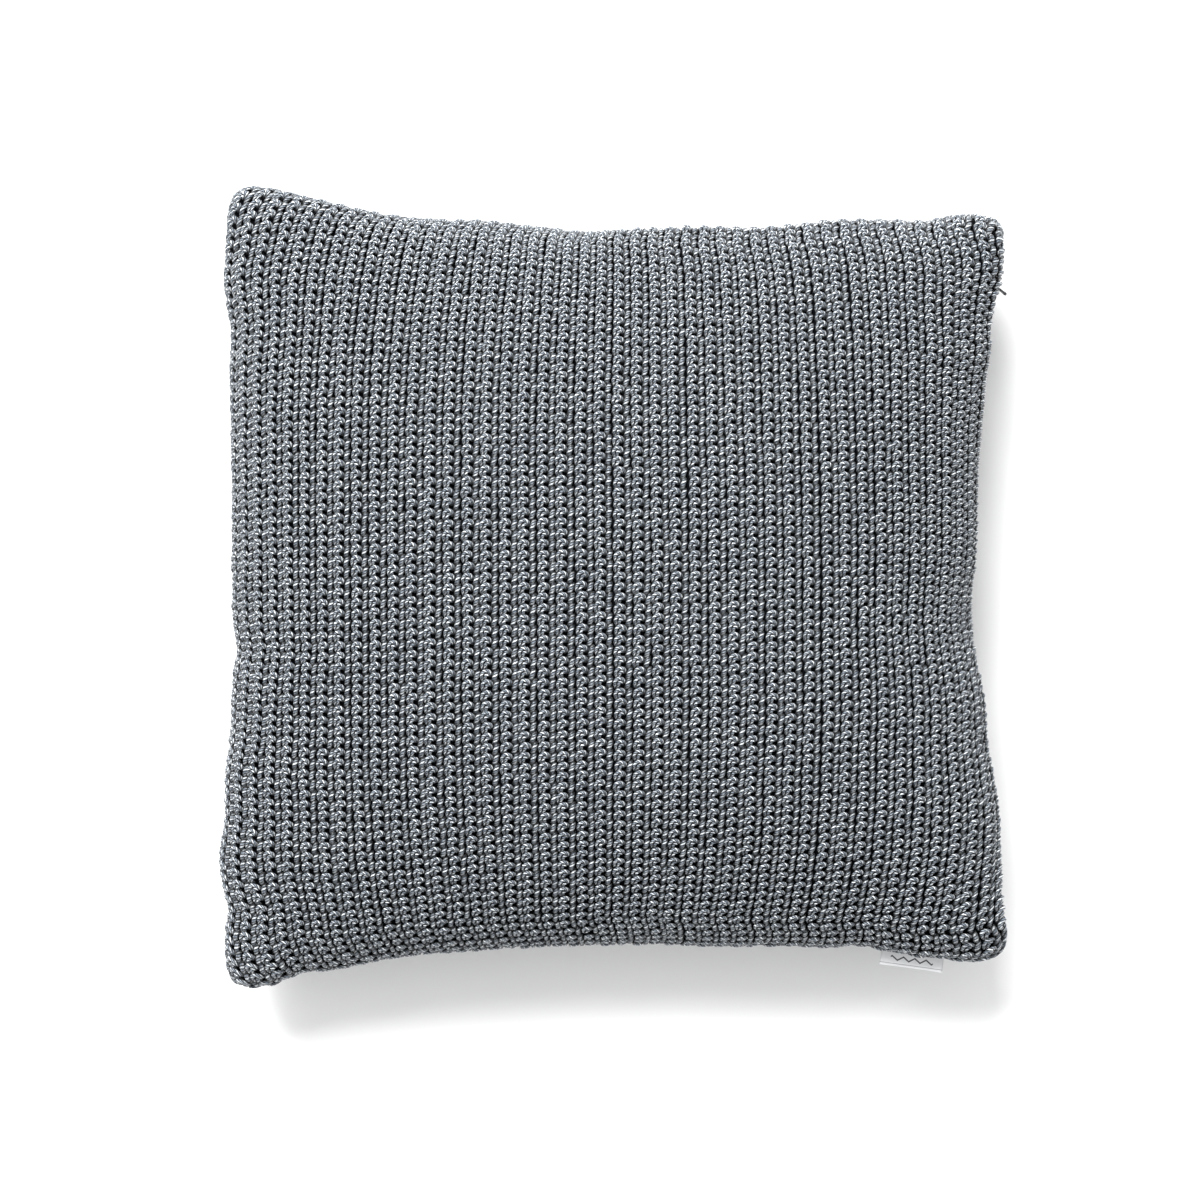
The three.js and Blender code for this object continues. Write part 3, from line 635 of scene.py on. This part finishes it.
def coil(up):
    """One row of the zip's coil: a wire wound in flat turns along the arc."""
    inset, z = COIL_MIDDLE
    ends = (COIL_LOW[1] + COIL_MARGIN, COIL_HIGH[1] - COIL_MARGIN)
    ends = [math.asin((y - ZIP_CENTRE[1]) / (ZIP_RADIUS + inset)) for y in ends]
    turns = round((ends[1] - ends[0]) * ZIP_RADIUS / COIL_PITCH)
    wound = np.linspace(0, turns * 2 * math.pi, turns * 10 + 1)
    angle = np.interp(wound, [0, wound[-1]], ends)
    path = on_zip(angle, inset + COIL_HALF[0] * np.cos(wound), up * (z + COIL_HALF[1] * np.sin(wound)))
    return tube(path, wound, 5, COIL_WIRE, reference=(0, 1, 0.01))


def folded_ribbon(width, reach, hidden, sag):
    """A ribbon folded back on itself, with x along the seam, y out of it, and its fold at y = reach."""
    across = np.linspace(-0.5, 0.5, 25)
    turn = np.linspace(-math.pi / 2, math.pi / 2, 9)

    def layer(offset):
        radius = LABEL_FOLD + offset
        middle = reach - LABEL_FOLD - LABEL_RIBBON
        bend = np.stack([middle + radius * np.cos(turn), radius * np.sin(turn)], axis=1)
        straight = np.linspace(-hidden, bend[0, 0], 9)[:-1]
        low = np.stack([straight, np.full(8, -radius)], axis=1)
        high = np.stack([straight[::-1], np.full(8, radius)], axis=1)
        return np.concatenate([low, bend, high])

    section = np.concatenate([layer(LABEL_RIBBON), layer(0)[::-1]])
    count = len(section)
    x, k = np.meshgrid(across, np.arange(count), indexing="ij")
    y, z = section[k, 0], section[k, 1]
    wave = sag * np.sin(7 * x + 0.6) * np.clip((y + hidden) / (reach + hidden), 0, 1) ** 2
    bow = 0.5 * sag * np.cos(3 * x) * np.clip(y / reach, 0, 1)
    points = np.stack([x * width, y - bow, z + wave], axis=-1).reshape(-1, 3)
    i, j = np.meshgrid(np.arange(len(across) - 1), np.arange(count), indexing="ij")
    a, b = i * count + j, i * count + (j + 1) % count
    quads = np.stack([a, b, b + count, a + count], axis=-1).reshape(-1, 4)
    half = count // 2
    low = np.arange(half - 1)
    cap = np.stack([low, count - 1 - low, count - 2 - low, low + 1], axis=-1)
    return points, np.concatenate([quads, cap, cap[:, ::-1] + (len(across) - 1) * count])


def side_tag(out):
    """The folded ribbon label, standing out of the seam, and its UVs across and out of the seam."""
    points, quads = folded_ribbon(LABEL_WIDTH, LABEL_REACH, LABEL_HIDDEN, LABEL_SAG)
    up = np.cross(LABEL_ALONG, out)
    placed = LABEL_ROOT + points[:, :1] * LABEL_ALONG + points[:, 1:2] * out + points[:, 2:] * up
    piece = new_mesh("side_tag", placed, quads)
    ribbon = points[quads.ravel()][:, :2] * [1 / LABEL_WIDTH, 1 / LABEL_REACH] + [0.5, 0]
    layer = piece.data.uv_layers.new(name="ribbon")
    layer.uv.foreach_set("vector", ribbon.astype(np.float32).ravel())
    piece.data.materials.append(label_satin())
    return piece


# ---- Materials ----
class Nodes:
    """Short names for making a material's nodes."""

    def __init__(self, name):
        self.material = bpy.data.materials.new(name)
        self.material.use_nodes = True
        self.tree = self.material.node_tree
        self.shader = self.tree.nodes["Principled BSDF"]

    def add(self, kind, **properties):
        node = self.tree.nodes.new(kind)
        for name, value in properties.items():
            setattr(node, name, value)
        return node

    def link(self, out, into):
        self.tree.links.new(out, into)

    def math(self, operation, *values):
        node = self.add("ShaderNodeMath", operation=operation)
        for slot, value in enumerate(values):
            if isinstance(value, bpy.types.NodeSocket):
                self.link(value, node.inputs[slot])
            else:
                node.inputs[slot].default_value = value
        return node.outputs[0]

    def ramp(self, factor, stops, interpolation="LINEAR"):
        node = self.add("ShaderNodeValToRGB")
        node.color_ramp.interpolation = interpolation
        while len(node.color_ramp.elements) < len(stops):
            node.color_ramp.elements.new(0.5)
        for element, (place, colour) in zip(node.color_ramp.elements, stops):
            element.position = place
            element.color = (*colour, 1)
        self.link(factor, node.inputs[0])
        return node.outputs["Color"]

    def multiply(self, a, b):
        node = self.add("ShaderNodeMix", data_type="RGBA", blend_type="MULTIPLY")
        node.inputs["Factor"].default_value = 1.0
        self.link(a, node.inputs[6])
        self.link(b, node.inputs[7])
        return node.outputs[2]

    def place(self):
        """The point's own place on the object, as x, y and z in metres."""
        split = self.add("ShaderNodeSeparateXYZ")
        self.link(self.add("ShaderNodeTexCoord").outputs["Object"], split.inputs[0])
        return split.outputs

    def noise(self, scale, detail=2.0):
        node = self.add("ShaderNodeTexNoise")
        node.inputs["Scale"].default_value = scale
        node.inputs["Detail"].default_value = detail
        self.link(self.add("ShaderNodeTexCoord").outputs["Object"], node.inputs["Vector"])
        return node.outputs["Fac"]

    def bump(self, height, distance, strength=1.0):
        node = self.add("ShaderNodeBump")
        node.inputs["Strength"].default_value = strength
        node.inputs["Distance"].default_value = distance
        self.link(height, node.inputs["Height"])
        self.link(node.outputs[0], self.shader.inputs["Normal"])

    def colour(self, socket):
        self.link(socket, self.shader.inputs["Base Color"])

    def set(self, **values):
        for name, value in values.items():
            self.shader.inputs[name.replace("_", " ")].default_value = value


def cord_material():
    """Twisted cord of light and dark slate plies, from the cord UVs, with painted shade in the ply grooves
    and on low-lying cord, and painted highlight on the ply crests and the cord tops.
    """
    n = Nodes("crochet_cord")
    split = n.add("ShaderNodeSeparateXYZ")
    n.link(n.add("ShaderNodeUVMap", uv_map="cord").outputs[0], split.inputs[0])
    twist = n.math("MULTIPLY_ADD", split.outputs[1], CORD_PLIES / CORD_LAY,
                   n.math("MULTIPLY", split.outputs[0], CORD_PLIES))
    centred = n.math("MULTIPLY_ADD", n.math("FRACT", twist), 2.0, -1.0)
    roundness = n.math("SQRT", n.math("SUBTRACT", 1.02, n.math("MULTIPLY", centred, centred)))
    which = n.math("FRACT", n.math("DIVIDE", n.math("FLOOR", twist), CORD_PLIES))
    plies = n.ramp(which, [(0.0, (0.062, 0.077, 0.098)), (0.25, (0.33, 0.352, 0.373)),
                           (0.5, (0.098, 0.114, 0.135)), (0.75, (0.235, 0.254, 0.275))], "CONSTANT")
    # Painted shade in the grooves between the plies and painted highlight along their crests, from each
    # ply's roundness.
    ply_shade_and_highlight = n.ramp(roundness, [(0.0, (0.01, 0.012, 0.015)), (0.6, (0.08, 0.085, 0.09)),
                                (0.85, (0.68, 0.68, 0.68)), (1.0, (1.75, 1.75, 1.73))])
    grain = n.ramp(n.noise(1300.0, 1.0), [(0.38, (0.55, 0.57, 0.60)), (0.62, (1.45, 1.43, 1.40))])
    # Painted shade: the lower a point of the cord lies in the cover, the darker it is painted, and the tops
    # of the cords are painted a little lighter as painted light.
    height_shade = n.ramp(n.add("ShaderNodeAttribute", attribute_name="height_shade").outputs["Fac"],
                  [(0.3, (0.015, 0.015, 0.015)), (0.62, (0.17, 0.17, 0.17)), (0.98, (1.25, 1.25, 1.25))])
    plies = n.multiply(n.multiply(plies, grain), height_shade)
    tone = n.ramp(n.add("ShaderNodeAttribute", attribute_name="tone").outputs["Fac"],
                  [(0.0, (0.78, 0.80, 0.83)), (1.0, (1.2, 1.18, 1.15))])
    n.colour(n.multiply(n.multiply(plies, ply_shade_and_highlight), tone))
    n.bump(roundness, 0.7 * MM)
    n.set(Roughness=0.33, Specular_IOR_Level=0.6, Sheen_Weight=0.12, Sheen_Roughness=0.4)
    return n.material


def woven(name, dark, light, pitch, roughness, sheen=0.0):
    """A plain weave of threads along x and y, at a pitch in millimetres."""
    n = Nodes(name)
    x, y, z = n.place()
    turns = 2 * math.pi / (pitch * MM)
    warp = n.math("SINE", n.math("MULTIPLY", n.math("ADD", x, z), turns))
    weft = n.math("SINE", n.math("MULTIPLY", n.math("ADD", y, z), turns))
    weave = n.math("MULTIPLY_ADD", n.math("MULTIPLY", warp, weft), 0.5, 0.5)
    mottled = n.math("MULTIPLY_ADD", n.noise(60.0), 0.35, n.math("MULTIPLY", weave, 0.65))
    n.colour(n.ramp(mottled, [(0.2, dark), (0.8, light)]))
    n.bump(weave, 0.12 * pitch * MM, 0.8)
    n.set(Roughness=roughness, Sheen_Weight=sheen, Specular_IOR_Level=0.1)
    return n.material


def zip_metal():
    """Gunmetal plating, rubbed brighter in places."""
    n = Nodes("zip_metal")
    rubbed = n.noise(900.0, 4.0)
    n.colour(n.ramp(rubbed, [(0.35, (0.035, 0.037, 0.042)), (0.65, (0.10, 0.105, 0.112))]))
    n.link(n.math("MULTIPLY_ADD", rubbed, 0.3, 0.2), n.shader.inputs["Roughness"])
    n.bump(rubbed, 0.02 * MM, 0.5)
    n.set(Metallic=0.9)
    return n.material


def coil_nylon():
    """Drawn black nylon, slightly glossy."""
    n = Nodes("zip_coil")
    drawn = n.noise(1500.0, 3.0)
    n.colour(n.ramp(drawn, [(0.3, (0.010, 0.012, 0.016)), (0.7, (0.028, 0.031, 0.037))]))
    n.bump(drawn, 0.02 * MM, 0.4)
    n.set(Roughness=0.32)
    return n.material


def sewing_thread(name, dark, light):
    """Spun thread, its twist half a millimetre long."""
    n = Nodes(name)
    x, y, z = n.place()
    slant = n.math("ADD", n.math("ADD", x, y), z)
    spun = n.math("SINE", n.math("MULTIPLY", slant, 2 * math.pi / (0.5 * MM)))
    spun = n.math("MULTIPLY_ADD", spun, 0.5, 0.5)
    n.colour(n.ramp(spun, [(0.0, dark), (1.0, light)]))
    n.bump(spun, 0.06 * MM)
    n.set(Roughness=0.55, Sheen_Weight=0.2)
    return n.material


def label_satin():
    """White satin ribbon with a woven zigzag band and edge lines, from the label's own UVs."""
    n = Nodes("label_fabric")
    split = n.add("ShaderNodeSeparateXYZ")
    n.link(n.add("ShaderNodeUVMap", uv_map="ribbon").outputs[0], split.inputs[0])
    along, out = split.outputs[0], split.outputs[1]
    zigzag = n.math("PINGPONG", n.math("MULTIPLY", along, 11.0), 1.0)
    band = n.math("ABSOLUTE", n.math("SUBTRACT", out, n.math("MULTIPLY_ADD", zigzag, 0.26, 0.32)))
    inside = n.math("LESS_THAN", n.math("ABSOLUTE", n.math("SUBTRACT", along, 0.5)), 0.34)
    woven_line = n.math("MULTIPLY", n.math("LESS_THAN", band, 0.055), inside)
    border = n.math("LESS_THAN", n.math("ABSOLUTE", n.math("SUBTRACT", out, 0.82)), 0.02)
    dark = n.math("MAXIMUM", woven_line, n.math("MULTIPLY", border, 0.6))
    x, y, z = n.place()
    threads = n.math("SINE", n.math("MULTIPLY", x, 2 * math.pi / (0.35 * MM)))
    threads = n.math("MULTIPLY_ADD", threads, 0.04, 0.04)
    n.colour(n.ramp(n.math("ADD", dark, threads), [(0.0, (0.80, 0.81, 0.82)), (0.08, (0.70, 0.71, 0.73)),
                                                   (1.0, (0.035, 0.038, 0.045))]))
    n.bump(threads, 0.6 * MM, 0.5)
    n.set(Roughness=0.45, Sheen_Weight=0.25)
    return n.material


def floor_paint():
    """A white studio floor."""
    n = Nodes("floor_paint")
    n.colour(n.ramp(n.noise(3.0), [(0.3, (0.94, 0.94, 0.94)), (0.7, (0.96, 0.96, 0.96))]))
    n.set(Roughness=0.9)
    return n.material


# ---- Pieces ----
def finished(piece, material, body, slot, *replaced):
    """A piece with its material, riding on a body and standing for the CAD nodes that it replaces."""
    piece.data.materials.append(material)
    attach(piece, body)
    if replaced:
        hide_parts(*replaced)
    return piece


front_points, back_points = cushion_form()

casing_own, _, casing_faces = pillow_faces(len(front_points))
casing = new_mesh("inner_cushion", np.concatenate([front_points.reshape(-1, 3), back_points[casing_own]]),
                  *casing_faces)
# The casing is a dark fabric, made darker still as painted shade for the depths of the stitch holes.
finished(casing, woven("casing_fabric", (0.0015, 0.002, 0.003), (0.005, 0.006, 0.009), 0.9, 0.9), "cushion",
         "casing_fabric", "inner_casing_front", "inner_casing_back", "inner_casing_seam", "fibre_filling")

CORD_MATERIAL = cord_material()
for where, grid, outward in (("front", front_points, 1), ("back", back_points, -1)):
    for piece in crochet(Face(grid, outward), f"crochet_{where}", where == "back", rng):
        finished(piece, CORD_MATERIAL, "cushion", "crochet_cord", f"cover_{where}")

seam_points, seam_tris, seam_uvs = seam(front_points, rng)
seam_piece = cord_piece("seam", seam_points, seam_tris, seam_uvs, np.full(len(seam_tris), SEAM_TONE),
                        np.full(len(seam_points), SEAM_HEIGHT_SHADE))
finished(seam_piece, CORD_MATERIAL, "cushion", "crochet_cord", "seam_cord")

NYLON = coil_nylon()
for where, up in (("front", 1), ("back", -1)):
    points, tris, _ = coil(up)
    finished(new_mesh(f"coil_{where}", points, tris), NYLON, "cushion", "zip_coil", f"zip_coil_{where}")

label_out = np.array([LABEL_ALONG[1], -LABEL_ALONG[0], 0])
label = side_tag(label_out)
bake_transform(label)
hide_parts("side_label")

# The CAD nodes that stay as they are get the materials of this scene.
KEPT_NODES = (
    (zip_metal(), ("zip_slider", "zip_pull", "zip_top_stop_front", "zip_top_stop_back", "zip_bottom_stop")),
    (woven("zip_tape", (0.008, 0.010, 0.013), (0.03, 0.034, 0.04), 0.7, 0.8, 0.2),
     ("zip_tape_front", "zip_tape_back")),
    (sewing_thread("sewing_thread", (0.02, 0.022, 0.026), (0.10, 0.105, 0.115)),
     ("zip_stitching_front", "zip_stitching_back")),
    (sewing_thread("label_thread", (0.55, 0.56, 0.58), (0.80, 0.81, 0.82)), ("label_stitching",)),
    (woven("care_label", (0.70, 0.71, 0.73), (0.80, 0.81, 0.82), 0.35, 0.5), ("care_label",)),
)
for material, nodes in KEPT_NODES:
    for node in nodes:
        frame["nodes"][node].material_slots[0].material = material

# ---- Stage, light and camera ----
FLOOR = 6000.0  # from its middle to each side
SKY = 0.9  # strength of the even white light from all round
KEY_PLACE = (-0.9, 2.3, 2.4)  # in metres
KEY_SIZE = 2.2
KEY_POWER = 270
floor_corners = FLOOR * np.array([[-1, -1, 0], [1, -1, 0], [1, 1, 0], [-1, 1, 0]])
floor = new_mesh("floor", floor_corners, np.array([[0, 1, 2, 3]]), smooth=False)
floor.data.materials.append(floor_paint())

scene = bpy.context.scene
scene.view_settings.view_transform = "Standard"
world = bpy.data.worlds.new("studio")
scene.world = world
world.use_nodes = True
background = world.node_tree.nodes["Background"]
background.inputs["Color"].default_value = (1, 1, 1, 1)
background.inputs["Strength"].default_value = SKY


def area_light(name, place, size, power):
    """A square light at a place in metres, aimed at the origin."""
    data = bpy.data.lights.new(name, "AREA")
    data.size = size
    data.energy = power
    lamp = bpy.data.objects.new(name, data)
    lamp.location = place
    lamp.rotation_euler = (-Vector(place)).to_track_quat("-Z", "Y").to_euler()
    scene.collection.objects.link(lamp)


area_light("key", KEY_PLACE, KEY_SIZE, KEY_POWER)

LENS = 100.0
SENSOR = 36.0
FRAME_WIDTH = 763.3  # of the picture, in the plane of the seam
VIEW_CENTRE = (-7.95, -7.95)
camera_data = bpy.data.cameras.new("camera")
camera_data.lens = LENS
camera_data.sensor_width = SENSOR
camera = bpy.data.objects.new("camera", camera_data)
camera.location = Vector((*VIEW_CENTRE, SEAM_Z + FRAME_WIDTH * LENS / SENSOR)) * MM
scene.collection.objects.link(camera)
scene.camera = camera
